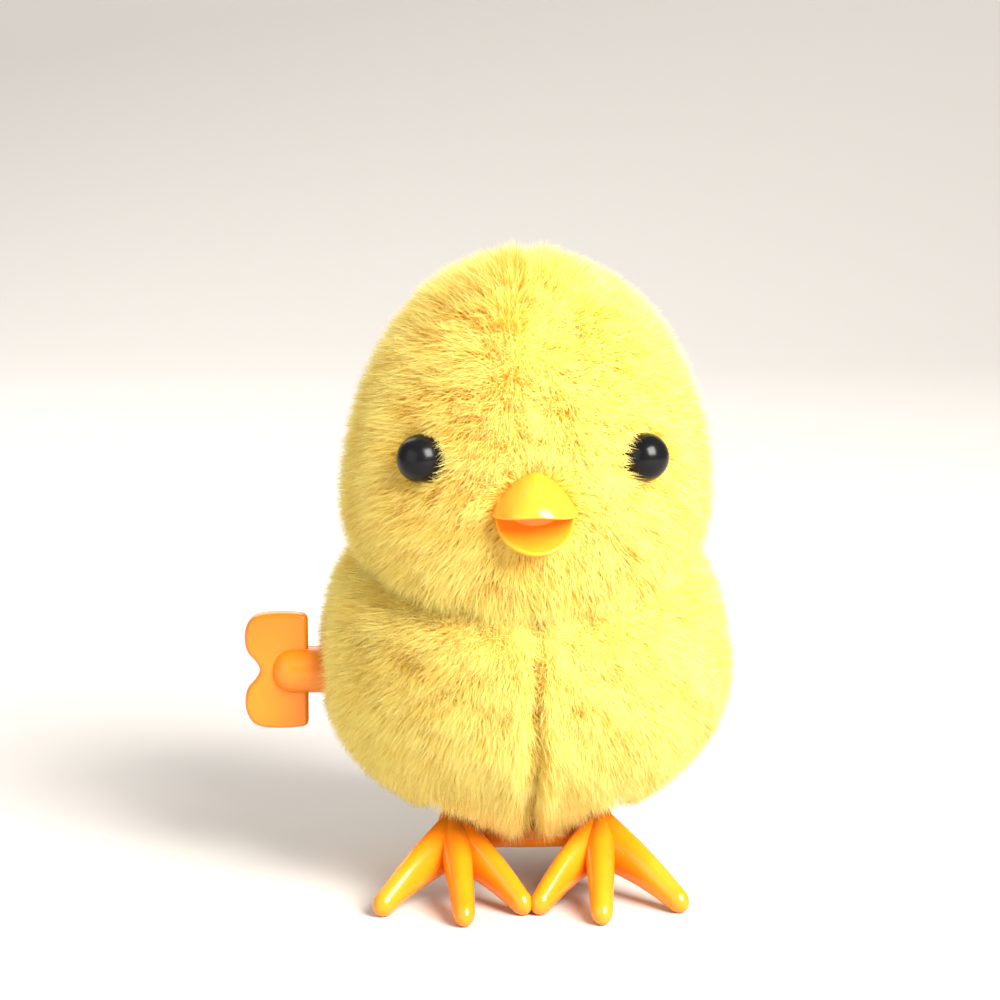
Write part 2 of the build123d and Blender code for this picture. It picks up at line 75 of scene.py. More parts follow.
SIDE_SEAM_Y = back_low_corner[1]

SEAM_COMB = {                        # how far the pile beside the middle seam leans away from it
    "head_panel_left": 0.1,
    "head_panel_right": -0.5,
    "chest_panel_left": 0.45,
    "chest_panel_right": 0.1,
    "back_panel": 0.0,
}
STRANDS_PER_PANEL = 72000
STRAND_WIDTH = 0.085 * MM
CLUMP = 0.9 * MM


def middle(node):
    """The middle of a CAD node's box."""
    low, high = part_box(node)
    return (np.array(low) + np.array(high)) / 2


# ======================= Numpy surfaces =======================
def egg_points(egg, around, up):
    """Points, outward normals and tangents of an egg at the angles `around` and `up` (radians).

    radius * cos(up) out from the axis, and wide + height * sin(up) high, where height is that of the
    lower half for up < 0 and of the upper half for up > 0."""
    height = np.where(up > 0, egg["top"] - egg["wide"], egg["wide"] - egg["low"])
    ring = egg["radius"] * np.cos(up)
    points = np.stack(
        [ring * np.cos(around), egg["axis_y"] + ring * np.sin(around), egg["wide"] + height * np.sin(up)], -1
    )
    normals = np.stack(
        [np.cos(up) * np.cos(around) / egg["radius"], np.cos(up) * np.sin(around) / egg["radius"],
         np.sin(up) / height], -1
    )
    normals /= np.linalg.norm(normals, axis=-1, keepdims=True)
    sideways = np.stack([-np.sin(around), np.cos(around), np.zeros_like(around)], -1)
    upward = np.cross(normals, sideways)
    return points, normals, sideways, upward


def waves(points, scale, seed):
    """Smooth noise from -1 to 1: a mean of six sine waves of random directions across the points."""
    random = np.random.default_rng(seed)
    total = np.zeros(points.shape[:-1])
    for _ in range(6):
        direction = random.normal(size=3)
        direction /= np.linalg.norm(direction) * scale * random.uniform(0.6, 1.5)
        total += np.sin(points @ direction * 2 * pi + random.uniform(0, 2 * pi))
    return total / 3.2


def above_neck(points):
    """Height over the tilted neck seam."""
    return (points[..., 2] - NECK_Z) * cos(NECK_TILT) - (points[..., 1] - NECK_Y) * sin(NECK_TILT)


def sink(points, normals):
    """The backing pulled in at its seams: by 1.4 mm down the chest, 0.3 mm over the head, 2.3 mm at the
    neck."""
    chest = 1 / (1 + np.exp(above_neck(points) / (1.0 * MM)))
    seam = (0.3 + 1.1 * chest) * MM * np.exp(-(points[..., 0] / (1.0 * MM)) ** 2)
    neck = 2.3 * MM * np.exp(-(above_neck(points) / (2.4 * MM)) ** 2)
    soft = 0.35 * MM * waves(points, 16 * MM, 3)
    return points - normals * (seam + neck + soft)[..., None]


def mesh_piece(name, vertices, faces_by_size, material, uv=None, normals=None):
    """A mesh object at the origin from arrays of vertices and of faces, one array per face size."""
    mesh = bpy.data.meshes.new(name)
    loops = np.concatenate([faces.ravel() for faces in faces_by_size])
    sizes = np.concatenate([np.full(len(faces), faces.shape[1]) for faces in faces_by_size])
    mesh.vertices.add(len(vertices))
    mesh.vertices.foreach_set("co", np.ascontiguousarray(vertices, np.float32).ravel())
    mesh.loops.add(len(loops))
    mesh.loops.foreach_set("vertex_index", loops.astype(np.int32))
    mesh.polygons.add(len(sizes))
    starts = np.concatenate([[0], np.cumsum(sizes)[:-1]])
    mesh.polygons.foreach_set("loop_start", starts.astype(np.int32))
    mesh.update(calc_edges=True)
    mesh.polygons.foreach_set("use_smooth", np.ones(len(sizes), bool))
    if uv is not None:
        layer = mesh.uv_layers.new(name="OFBake")
        layer.data.foreach_set("uv", uv[loops].astype(np.float32).ravel())
    if normals is not None:
        mesh.normals_split_custom_set_from_vertices(normals.astype(np.float32))
    mesh.materials.append(material)
    piece = bpy.data.objects.new(name, mesh)
    bpy.context.collection.objects.link(piece)
    return piece


# ======================= Shader helpers =======================
def new_material(name):
    """An empty node material with its Principled shader and output."""
    material = bpy.data.materials.new(name)
    material.use_nodes = True
    nodes = material.node_tree.nodes
    return material, nodes, material.node_tree.links, nodes["Principled BSDF"]


def ramp(nodes, stops):
    """A colour ramp with (position, colour) stops."""
    node = nodes.new("ShaderNodeValToRGB")
    elements = node.color_ramp.elements
    elements[0].position, elements[0].color = stops[0][0], (*stops[0][1], 1)
    elements[1].position, elements[1].color = stops[-1][0], (*stops[-1][1], 1)
    for position, colour in stops[1:-1]:
        elements.new(position).color = (*colour, 1)
    return node


def plush_material():
    """Soft pile: painted shade golden at the root, pale yellow at the tip; paler or more golden by strand."""
    material, nodes, links, shader = new_material("plush_pile")
    place = nodes.new("ShaderNodeUVMap")
    place.uv_map = "OFBake"
    split = nodes.new("ShaderNodeSeparateXYZ")
    links.new(place.outputs["UV"], split.inputs[0])
    # The ramp along each strand is painted shade: deep golden orange at the root, where the pile shades itself,
    # to pale yellow at the tip.
    along = ramp(nodes, [(0.0, (0.95, 0.52, 0.05)), (0.35, (0.99, 0.79, 0.15)), (0.7, (1.0, 0.91, 0.33)),
                         (1.0, (1.0, 0.96, 0.50))])
    tone = ramp(nodes, [(0.0, (0.96, 0.78, 0.38)), (0.42, (1.0, 0.97, 0.82)), (1.0, (1.0, 1.0, 1.0))])
    links.new(split.outputs["Y"], along.inputs[0])
    links.new(split.outputs["X"], tone.inputs[0])
    tint = nodes.new("ShaderNodeMix")
    tint.data_type = "RGBA"
    tint.blend_type = "MULTIPLY"
    tint.inputs["Factor"].default_value = 1.0
    links.new(along.outputs["Color"], tint.inputs["A"])
    links.new(tone.outputs["Color"], tint.inputs["B"])
    links.new(tint.outputs["Result"], shader.inputs["Base Color"])
    shader.inputs["Roughness"].default_value = 0.75
    shader.inputs["Specular IOR Level"].default_value = 0.25
    shader.inputs["Sheen Weight"].default_value = 0.25
    shader.inputs["Sheen Tint"].default_value = (1.0, 0.95, 0.6, 1)
    glow = nodes.new("ShaderNodeBsdfTranslucent")
    links.new(tint.outputs["Result"], glow.inputs["Color"])
    mix = nodes.new("ShaderNodeMixShader")
    mix.inputs["Fac"].default_value = 0.4
    links.new(shader.outputs["BSDF"], mix.inputs[1])
    links.new(glow.outputs["BSDF"], mix.inputs[2])
    links.new(mix.outputs["Shader"], nodes["Material Output"].inputs["Surface"])
    return material


# ======================= Plush =======================
def away_from(points, centre, radius, reach):
    """Unit pull away from a point, and its strength: 1 within the radius, fading to 0 over the reach."""
    offset = points - centre
    distance = np.linalg.norm(offset, axis=-1)
    strength = np.clip(1 - (distance - radius) / reach, 0, 1)
    return offset / np.maximum(distance, 1e-9)[:, None], strength


def grow_roots(egg, count, seed):
    """Random roots spread evenly over an egg: `up` follows the area, `around` is uniform."""
    random = np.random.default_rng(seed)
    steps = np.linspace(-pi / 2, pi / 2, 2001)
    height = np.where(steps > 0, egg["top"] - egg["wide"], egg["wide"] - egg["low"])
    area = np.cos(steps) * np.sqrt((egg["radius"] * np.sin(steps)) ** 2 + (height * np.cos(steps)) ** 2)
    total = np.cumsum(area)
    up = np.interp(random.uniform(0, total[-1], count), total, steps)
    around = random.uniform(-pi, pi, count)
    return around, up, random


def keep_roots(points, panel):
    """Which roots belong to a panel and have cloth under them."""
    over = above_neck(points)
    left = points[:, 0] >= 0
    if panel.startswith("head"):
        keep = (over > -2.5 * MM) & (left == panel.endswith("left"))
    elif panel == "back_panel":
        keep = (over < 2.5 * MM) & (points[:, 1] > SIDE_SEAM_Y)
    else:
        keep = (over < 2.5 * MM) & (points[:, 1] <= SIDE_SEAM_Y) & (left == panel.endswith("left"))
    for node, clear in (("eye_left", 3.2), ("eye_right", 3.2)):
        keep &= np.linalg.norm(points - EYES[node], axis=1) > clear * MM
    across = (points[:, 0] - BEAK[0]) / (5.0 * MM)
    tall = (points[:, 2] - BEAK[2]) / (4.2 * MM)
    keep &= (across ** 2 + tall ** 2 > 1) | (points[:, 1] > 10 * MM)
    hub = np.hypot(points[:, 1] - KEY[1], points[:, 2] - KEY[2])
    keep &= (hub > 3.6 * MM) | (points[:, 0] > 0)
    under = points[:, 2] < 22 * MM
    between = (np.abs(points[:, 0]) < 7.5 * MM) & (points[:, 1] < 10.5 * MM)
    hole = (np.abs(points[:, 0]) < 15 * MM) & (points[:, 1] > 6.5 * MM) & (points[:, 1] < 38.5 * MM)
    return keep & ~(under & hole & ~between)


def strands(egg, panel, seed):
    """A panel's pile as thin leaves, each a quad with a triangle for its tip.

    Each strand is root + length * (t * lean + t^2 * droop) for t = 0 and 0.5, two points wide there, and
    one point at the tip, with 0.92 of the lean. `lean` is the backing's normal plus the combing, and the
    tips of a clump draw together."""
    around, up, random = grow_roots(egg, 6 * STRANDS_PER_PANEL, seed)
    points, normals, sideways, upward = egg_points(egg, around, up)
    chosen = np.flatnonzero(keep_roots(points, panel))[:STRANDS_PER_PANEL]
    points, normals = points[chosen], normals[chosen]
    sideways, upward = sideways[chosen], upward[chosen]
    around, up = around[chosen], up[chosen]
    count = len(chosen)
    roots = sink(points, normals)

    comb = -0.26 * upward + 0.24 * waves(points, 8 * MM, 11)[:, None] * sideways
    comb += 0.22 * waves(points, 5 * MM, 12)[:, None] * upward
    x = points[:, 0]
    near_seam = np.exp(-(x / (3.0 * MM)) ** 2) * (points[:, 1] < SIDE_SEAM_Y)
    lateral = np.sign(x)[:, None] * np.array([1.0, 0, 0])
    comb += (SEAM_COMB[panel] * near_seam)[:, None] * lateral
    chest = 1 / (1 + np.exp(above_neck(points) / (1.0 * MM)))
    tuft = np.exp(-((np.abs(x) - 1.8 * MM) / (1.3 * MM)) ** 2) * (points[:, 1] < SIDE_SEAM_Y)
    belly = np.clip((20 * MM - points[:, 2]) / (10 * MM), 0, 1) * chest
    length = PILE * random.uniform(0.72, 1.08, count)
    furrow = np.exp(-((x - 0.4 * MM) / (0.8 * MM)) ** 2) * chest
    length *= (1 + 0.16 * tuft + 0.55 * belly * np.exp(-(x / (5 * MM)) ** 2)) * (1 - 0.4 * furrow)
    for centre, radius, reach, shorten, part in (
        (EYES["eye_left"], 3.3 * MM, 2.6 * MM, 0.35, 0.45),
        (EYES["eye_right"], 3.3 * MM, 2.6 * MM, 0.35, 0.45),
        (BEAK, 5.6 * MM, 3.5 * MM, 0.4, 0.7),
    ):
        away, strength = away_from(points, centre, radius, reach)
        if part < 0.5:
            beside = np.abs(points[:, 0]) < abs(centre[0]) - 1.0 * MM
            away = away * np.where(beside, -2.2, 1.0)[:, None]
            length *= np.where(beside, 1 + 0.35 * strength, 1.0)
        comb = comb * (1 - strength)[:, None] + part * strength[:, None] * away
        length *= 1 - shorten * strength

    cell = CLUMP / egg["radius"]
    column = np.floor(around * np.cos(up) / cell).astype(int)
    row = np.floor(up / cell).astype(int)
    table = np.random.default_rng(seed + 1).uniform(0, 1, (512, 512, 3))
    jitter = table[column % 512, row % 512]
    pull_side = (column + jitter[:, 0]) * cell - around * np.cos(up)
    pull_up = (row + jitter[:, 1]) * cell - up
    gather = (pull_side[:, None] * sideways + pull_up[:, None] * upward) * egg["radius"]

    lean = normals * 0.90 + comb + 0.34 * random.normal(size=(count, 3))
    lean /= np.linalg.norm(lean, axis=1, keepdims=True)
    droop = -0.10 * upward + 0.24 * comb
    gathered = 0.45 * gather
    width = np.cross(lean, normals)
    width /= np.maximum(np.linalg.norm(width, axis=1, keepdims=True), 1e-9)
    width *= STRAND_WIDTH / 2
    reach = length[:, None]
    half_way = roots + reach * (0.5 * lean + 0.25 * droop) + 0.3 * gathered
    tip = roots + reach * (0.92 * lean + droop) + gathered
    vertices = np.stack([roots - width, roots + width, half_way + width, half_way - width, tip], 1)

    tone = np.clip(0.5 + 0.22 * waves(points, 6 * MM, 21) + 0.25 * (jitter[:, 2] - 0.5)
                   + 0.12 * random.normal(size=count), 0.02, 0.98)
    aside = np.array([-0.008, 0.008, 0.008, -0.008, 0.0])
    # The second UV runs from root to tip, so the material's ramp paints shade at the root.
    along = np.array([0.02, 0.02, 0.5, 0.5, 0.98])
    uv = np.stack([tone[:, None] + aside, np.broadcast_to(along, (count, 5))], -1).reshape(-1, 2)
    first = 5 * np.arange(count)[:, None]
    quads = first + np.array([0, 1, 2, 3])
    tips = first + np.array([3, 2, 4])
    leaf = np.cross(width, lean)
    leaf /= np.linalg.norm(leaf, axis=1, keepdims=True)
    leaf *= np.sign(np.einsum("ij,ij->i", leaf, normals))[:, None]
    shade = normals * 0.75 + leaf * 0.45
    shade /= np.linalg.norm(shade, axis=1, keepdims=True)
    return vertices.reshape(-1, 3), [quads, tips], uv, np.repeat(shade, 5, axis=0)


def backing(egg, panel, columns=240, rows=150):
    """The panel's cloth: the egg's grid of angles, kept where keep_roots says, and sunk at the seams."""
    around, up = np.meshgrid(np.linspace(-pi, pi, columns + 1), np.linspace(-pi / 2, pi / 2, rows + 1))
    points, normals, _, _ = egg_points(egg, around, up)
    corner = np.arange((columns + 1) * (rows + 1)).reshape(rows + 1, columns + 1)
    faces = np.stack([corner[:-1, :-1], corner[:-1, 1:], corner[1:, 1:], corner[1:, :-1]], -1).reshape(-1, 4)
    points, normals = points.reshape(-1, 3), normals.reshape(-1, 3)
    centres = points[faces].mean(axis=1)
    faces = faces[keep_roots(centres, panel)]
    used, faces = np.unique(faces, return_inverse=True)
    faces = faces.reshape(-1, 4)
    vertices = sink(points[used], normals[used])
    # The cloth takes the ramp near its root end: golden painted shade, as at the depth of the pile. Its UV is
    # spread by x and z so the faces have area, which makes the cloth a little paler with height and x.
    uv = np.stack([np.full(len(used), 0.3), np.full(len(used), 0.12)], -1)
    uv += 0.05 * (vertices[:, [0, 2]] - vertices[:, [0, 2]].min(axis=0)) / (60 * MM)
    return vertices, faces, uv, normals[used]


def plush_panel(egg, panel, material, seed):
    """A panel: its backing and its pile in one piece."""
    pile, (quads, tips), pile_uv, pile_normals = strands(egg, panel, seed)
    cloth, cloth_faces, cloth_uv, cloth_normals = backing(egg, panel)
    vertices = np.concatenate([cloth, pile])
    piece = mesh_piece(
        f"plush_{panel}", vertices, [np.concatenate([cloth_faces, quads + len(cloth)]), tips + len(cloth)],
        material, np.concatenate([cloth_uv, pile_uv]), np.concatenate([cloth_normals, pile_normals]),
    )
    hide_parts(panel)
    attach(piece, "body")


EYES = {name: middle(name) for name in ("eye_left", "eye_right")}
for name in EYES:
    outward = EYES[name] - np.array([0, HEAD["axis_y"], HEAD["wide"]])
    EYES[name] = EYES[name] + outward / np.linalg.norm(outward) * 0.5 * MM
BEAK = middle("beak")
BEAK[1] = HEAD["axis_y"] - HEAD["radius"]
KEY = middle("winding_key")

plush = plush_material()
for seed, panel in enumerate(("head_panel_left", "head_panel_right")):
    plush_panel(HEAD, panel, plush, 40 + seed)
for seed, panel in enumerate(("chest_panel_left", "chest_panel_right", "back_panel")):
    plush_panel(BODY, panel, plush, 50 + seed)


# ======================= Stuffing =======================
def stuffing(node, material, seed):
    """A filling as packed fibre: its CAD solid remeshed, and pushed in by 1.7 mm and by up to 0.8 mm more
    in lumps of 9 mm."""
    source = frame["nodes"][node]
    mesh = source.data.copy()
    mesh.materials.clear()
    piece = bpy.data.objects.new(f"stuffing_{node.split('_')[0]}", mesh)
    bpy.context.collection.objects.link(piece)
    weld = bmesh.new()
    weld.from_mesh(mesh)
    bmesh.ops.remove_doubles(weld, verts=weld.verts, dist=0.01 * MM)
    weld.to_mesh(mesh)
    weld.free()
    remesh = piece.modifiers.new("even", "REMESH")
    remesh.mode = "VOXEL"
    remesh.voxel_size = 1.3 * MM
    evaluated = piece.evaluated_get(bpy.context.evaluated_depsgraph_get())
    even = bpy.data.meshes.new_from_object(evaluated)
    piece.modifiers.clear()
    piece.data = even
    points = np.empty(3 * len(even.vertices), np.float32)
    normals = np.empty_like(points)
    even.vertices.foreach_get("co", points)
    even.vertex_normals.foreach_get("vector", normals)
    points, normals = points.reshape(-1, 3), normals.reshape(-1, 3)
    depth = 1.7 * MM + 0.8 * MM * np.abs(waves(points, 9 * MM, seed))
    even.vertices.foreach_set("co", (points - normals * depth[:, None]).astype(np.float32).ravel())
    even.polygons.foreach_set("use_smooth", np.ones(len(even.polygons), bool))
    even.update()
    even.materials.append(material)
    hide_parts(node)
    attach(piece, "body")


# ======================= Mouldings =======================
def moulding_group():
    """Drift, a slow colour and gloss change, and Height, the fine grain of a moulded surface."""
    group = bpy.data.node_groups.new("moulding", "ShaderNodeTree")
    for name, size in (("Drift scale", 90.0), ("Grain scale", 1500.0)):
        group.interface.new_socket(name, in_out="INPUT", socket_type="NodeSocketFloat").default_value = size
    for name in ("Drift", "Height"):
        group.interface.new_socket(name, in_out="OUTPUT", socket_type="NodeSocketFloat")
    nodes, links = group.nodes, group.links
    inside, outside = nodes.new("NodeGroupInput"), nodes.new("NodeGroupOutput")
    where = nodes.new("ShaderNodeTexCoord")
    for scale, detail, output in (("Drift scale", 4, "Drift"), ("Grain scale", 2, "Height")):
        noise = nodes.new("ShaderNodeTexNoise")
        noise.inputs["Detail"].default_value = detail
        links.new(where.outputs["Object"], noise.inputs["Vector"])
        links.new(inside.outputs[scale], noise.inputs["Scale"])
        links.new(noise.outputs["Fac"], outside.inputs[output])
    return group


def moulded_material(name, colour, deep, gloss, grain=0.05, soft=0.0, drift_scale=90.0, grain_scale=1500.0):
    """Moulding: colour drifts to its deeper tone and the roughness between two values, over fine grain."""
    material, nodes, links, shader = new_material(name)
    surface = nodes.new("ShaderNodeGroup")
    surface.node_tree = MOULDING
    surface.inputs["Drift scale"].default_value = drift_scale
    surface.inputs["Grain scale"].default_value = grain_scale
    tones = ramp(nodes, [(0.32, deep), (0.68, colour)])
    links.new(surface.outputs["Drift"], tones.inputs[0])
    links.new(tones.outputs["Color"], shader.inputs["Base Color"])
    spread = nodes.new("ShaderNodeMapRange")
    spread.inputs["From Min"].default_value = 0.3
    spread.inputs["From Max"].default_value = 0.7
    spread.inputs["To Min"].default_value = gloss[0]
    spread.inputs["To Max"].default_value = gloss[1]
    links.new(surface.outputs["Drift"], spread.inputs["Value"])
    links.new(spread.outputs["Result"], shader.inputs["Roughness"])
    bump = nodes.new("ShaderNodeBump")
    bump.inputs["Strength"].default_value = grain
    bump.inputs["Distance"].default_value = 0.0002
    links.new(surface.outputs["Height"], bump.inputs["Height"])
    links.new(bump.outputs["Normal"], shader.inputs["Normal"])
    if soft:
        shader.inputs["Subsurface Weight"].default_value = soft
        shader.inputs["Subsurface Radius"].default_value = (1.0, 0.35, 0.05)
        shader.inputs["Subsurface Scale"].default_value = 0.002
    return material


MOULDING = moulding_group()
orange = moulded_material("orange_moulding", (0.95, 0.30, 0.010), (0.90, 0.23, 0.005), (0.16, 0.26), soft=0.2)
# The key's orange plastic, a darker copy of the orange moulding: painted shade for the shaded side the key sits
# on.
painted_shade_orange = moulded_material("painted_shade_orange_moulding", (0.80, 0.235, 0.006), (0.72, 0.18, 0.003), (0.18, 0.3), soft=0.1)
golden = moulded_material("golden_moulding", (0.96, 0.40, 0.030), (0.92, 0.33, 0.018), (0.18, 0.28), soft=0.2)
black = moulded_material("black_button", (0.004, 0.004, 0.005), (0.002, 0.002, 0.003), (0.16, 0.24), 0.01)
black.node_tree.nodes["Principled BSDF"].inputs["Specular IOR Level"].default_value = 0.22
pale = moulded_material("pale_moulding", (0.72, 0.71, 0.66), (0.63, 0.62, 0.56), (0.35, 0.5))
cream = moulded_material("gear_moulding", (0.80, 0.76, 0.62), (0.70, 0.66, 0.52), (0.3, 0.42))
fibre = moulded_material("packed_fibre", (0.86, 0.85, 0.80), (0.70, 0.69, 0.64), (0.85, 1.0), 0.9,
                         drift_scale=300.0, grain_scale=900.0)
steel = moulded_material("bright_steel", (0.62, 0.62, 0.63), (0.47, 0.47, 0.49), (0.22, 0.36), 0.06,
                         drift_scale=160.0, grain_scale=2600.0)
blued = moulded_material("spring_steel", (0.36, 0.37, 0.41), (0.22, 0.23, 0.28), (0.24, 0.4), 0.06,
                         drift_scale=200.0, grain_scale=2600.0)
for metal in (steel, blued):
    metal.node_tree.nodes["Principled BSDF"].inputs["Metallic"].default_value = 1.0

FINISH = {
    "orange_plastic": orange, "beak_plastic": golden, "black_plastic": black, "washer_plastic": pale,
    "casing_plastic": pale, "gear_plastic": cream, "steel": steel, "spring_steel": blued,
    "filling": fibre, "plush": plush,
}
stuffing("head_filling", fibre, 61)
stuffing("body_filling", fibre, 62)
SLOT_OF = {part["node"]: part["material_slot"] for part in frame["record"]["subparts"]}
for name, node in frame["nodes"].items():
    node.data.materials.clear()
    node.data.materials.append(FINISH[SLOT_OF[name]])


# ======================= Beak =======================
MOUTH_Z = middle("beak")[2] - 0.4 * MM
SEAT_Y = HEAD["axis_y"] - HEAD["radius"] - 0.5 * MM


def closed_grid(name, points, material, node, body="body"):
    """A closed surface from a grid of points, round in its second direction, its two end rows closed by
    a point at their middle."""
    rows, columns = points.shape[:2]
    vertices = np.concatenate([points.reshape(-1, 3), points[:1].mean(axis=1), points[-1:].mean(axis=1)])
    corner = np.arange(rows * columns).reshape(rows, columns)
    ahead = np.roll(corner, -1, axis=1)
    sides = np.stack([corner[:-1], ahead[:-1], ahead[1:], corner[1:]], -1).reshape(-1, 4)
    start = np.stack([ahead[0], corner[0], np.full(columns, rows * columns)], -1)
    end = np.stack([corner[-1], ahead[-1], np.full(columns, rows * columns + 1)], -1)
    piece = mesh_piece(name, vertices, [sides, np.concatenate([start, end])], material)
    weld = bmesh.new()
    weld.from_mesh(piece.data)
    bmesh.ops.recalc_face_normals(weld, faces=weld.faces)
    weld.to_mesh(piece.data)
    weld.free()
    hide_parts(node)
    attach(piece, body)


def upper_mandible():
    """Arches along the beak: at depth t an arch of half width W sqrt(1 - t^2.4) and height H (1 - t^1.7),
    z = height (1 - |s|^1.55)^0.8 for s from -1 to 1, closed below by a palate with a rolled lip."""
    depth, turn = np.meshgrid(
        np.linspace(-0.45, 0.995, 90), np.linspace(0, 2 * pi, 128, endpoint=False), indexing="ij"
    )
    t = np.clip(depth, 0, None)
    width = 6.0 * MM * (1 - t ** 2.4) ** 0.5
    height = 6.1 * MM * (1 - t ** 1.7) ** 0.75
    s = np.cos(turn)
    top = height * (1 - np.abs(s) ** 1.55 + 1e-9) ** 0.8
    lip = 0.55 * MM * (1 - t ** 8)
    below = -lip * np.abs(np.sin(turn)) ** 0.35 + 0.5 * lip * np.sin(turn) ** 4
    rise = 0.95 * MM * t
    x = width * s
    z = MOUTH_Z + rise + np.where(np.sin(turn) >= 0, top, below)
    y = SEAT_Y - 8.2 * MM * depth
    points = np.stack([x, y, z], -1)
    closed_grid("beak_upper", points, golden, "beak")


def lower_mandible():
    """A spoon on a plane tipped 40 degrees down: at turn s and share q of its wall, the inner bowl for q
    below a half and the outer one above, rho from the middle to the rim, with a round rim between them."""
    tip, bowl, wall = radians(40), 1.9 * MM, 0.95 * MM
    across, ahead, behind = 5.55 * MM, 6.5 * MM, 2.6 * MM
    out = np.array([0, -cos(tip), -sin(tip)])
    up = np.array([0, -sin(tip), cos(tip)])
    middle_point = np.array([0, SEAT_Y - 0.6 * MM, MOUTH_Z - 0.35 * MM])
    rho = np.concatenate([np.linspace(0.03, 0.9, 26), 0.9 + 0.1 * np.sin(np.linspace(0.15, pi - 0.15, 14)),
                          np.linspace(0.9, 0.03, 26)])
    rim = np.concatenate([np.zeros(26), 0.5 - 0.5 * np.cos(np.linspace(0.15, pi - 0.15, 14)), np.ones(26)])
    share, turn = np.meshgrid(np.arange(len(rho)), np.linspace(0, 2 * pi, 96, endpoint=False), indexing="ij")
    reach = np.where(np.sin(turn) > 0, ahead, behind)
    flat = rho[share][..., None] * (across * np.cos(turn)[..., None] * np.array([1.0, 0, 0])
                                    + (reach * np.sin(turn))[..., None] * out)
    sunk = bowl * (1 - rho[share] ** 2) + wall * rim[share]
    points = middle_point + flat - sunk[..., None] * up
    closed_grid("beak_lower", points, golden, "beak")


def beak_stem():
    """The stem behind the beak: a circle whose radius follows a profile along the seat's axis."""
    along = np.array([1.5, 1.4, 0.3, 0.0, -0.2, -0.2, -6.2, -6.5]) * MM
    radius = np.array([3.6, 4.0, 4.2, 4.0, 3.0, 1.2, 1.2, 0.9]) * MM
    profile = np.linspace(0, len(along) - 1, 50)
    away, turn = np.meshgrid(profile, np.linspace(0, 2 * pi, 48, endpoint=False), indexing="ij")
    ring = np.interp(away, np.arange(len(along)), radius)
    y = SEAT_Y + 2.2 * MM - np.interp(away, np.arange(len(along)), along)
    points = np.stack([ring * np.cos(turn), y, MOUTH_Z + 0.3 * MM + ring * np.sin(turn)], -1)
    closed_grid("beak_stem", points, golden, "beak")


upper_mandible()
lower_mandible()
beak_stem()


# ======================= Key =======================
KEY_LOW, KEY_HIGH = (np.array(corner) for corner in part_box("winding_key"))
KEY_BLADE_X = KEY_LOW[0] + 9.1 * MM
KEY_HALF = (KEY_HIGH[2] - KEY_LOW[2]) / 2


def rounded(corners, times=5):
    """A closed outline with its corners cut: each side keeps its middle half, time after time."""
    for _ in range(times):
        ahead = np.roll(corners, -1, axis=0)
        corners = np.stack([0.75 * corners + 0.25 * ahead, 0.25 * corners + 0.75 * ahead], 1).reshape(-1, 2)
    return corners


def key_blade():
    """The bow: its two-lobed outline drawn in by 0.6 mm (1 - cos a) and set 1.2 mm sin a off its middle
    plane for a from -90 to 90 degrees, which rounds its edges."""
    width, tall = KEY_BLADE_X - KEY_LOW[0], KEY_HALF
    upper = np.array([(0.215, 0.0), (0.14, 0.16), (-0.03, 0.33), (-0.055, 0.70), (0.10, 0.98), (0.42, 1.03),
                      (0.90, 1.01), (1.0, 0.95), (1.0, 0.78), (1.0, 0.25)])
    corners = np.concatenate([upper, upper[:0:-1] * [1, -1]])
    outline = rounded(corners * [width, tall])
    ahead = np.roll(outline, -1, axis=0) - np.roll(outline, 1, axis=0)
    inward = np.stack([ahead[:, 1], -ahead[:, 0]], -1)
    inward /= np.linalg.norm(inward, axis=1, keepdims=True)
    flat = np.full(5, pi / 2)
    angle = np.concatenate([-flat, np.linspace(-pi / 2, pi / 2, 13), flat])
    drawn = 0.6 * MM * (1 - np.cos(angle))
    shrink = np.array([0.06, 0.3, 0.55, 0.8, 0.95])
    shrink = np.concatenate([shrink, np.ones(13), shrink[::-1]])[:, None, None]
    heart = outline.mean(axis=0)
    rings = heart + shrink * (outline + inward * drawn[:, None, None] - heart)
    y = np.broadcast_to((KEY[1] + 1.2 * MM * np.sin(angle))[:, None, None], rings.shape[:2] + (1,))
    points = np.concatenate([rings[..., :1] + KEY_LOW[0], y, rings[..., 1:] + KEY[2]], -1)
    closed_grid("key_bow", points, painted_shade_orange, "winding_key", "winder")


def key_hub():
    """The hub: circles along its axis whose radius grows as a quarter ellipse over the domed end."""
    length = KEY_HIGH[0] - KEY_LOW[0] - 3.6 * MM
    rise = 1 - np.cos(np.linspace(0.06, pi / 2, 18))
    along = np.concatenate([3.2 * MM * rise, np.linspace(3.4 * MM, length, 40)])
    radius = 3.5 * MM * np.sqrt(np.clip(1 - (1 - np.clip(along / (3.2 * MM), 0, 1)) ** 2, 0, 1))
    turn = np.linspace(0, 2 * pi, 72, endpoint=False)
    x = np.broadcast_to((KEY_LOW[0] + 3.6 * MM + along)[:, None], (len(along), 72))
    points = np.stack([x, KEY[1] + radius[:, None] * np.cos(turn), KEY[2] + radius[:, None] * np.sin(turn)], -1)
    closed_grid("key_hub", points, painted_shade_orange, "winding_key", "winder")


key_blade()
key_hub()


# ======================= Feet =======================
PIN = middle("leg_pin")
LEG_X = 10.8 * MM
ANKLE_Z = 8.0 * MM
FRONT_Y = 13.5 * MM
REAR_Y = 17.5 * MM


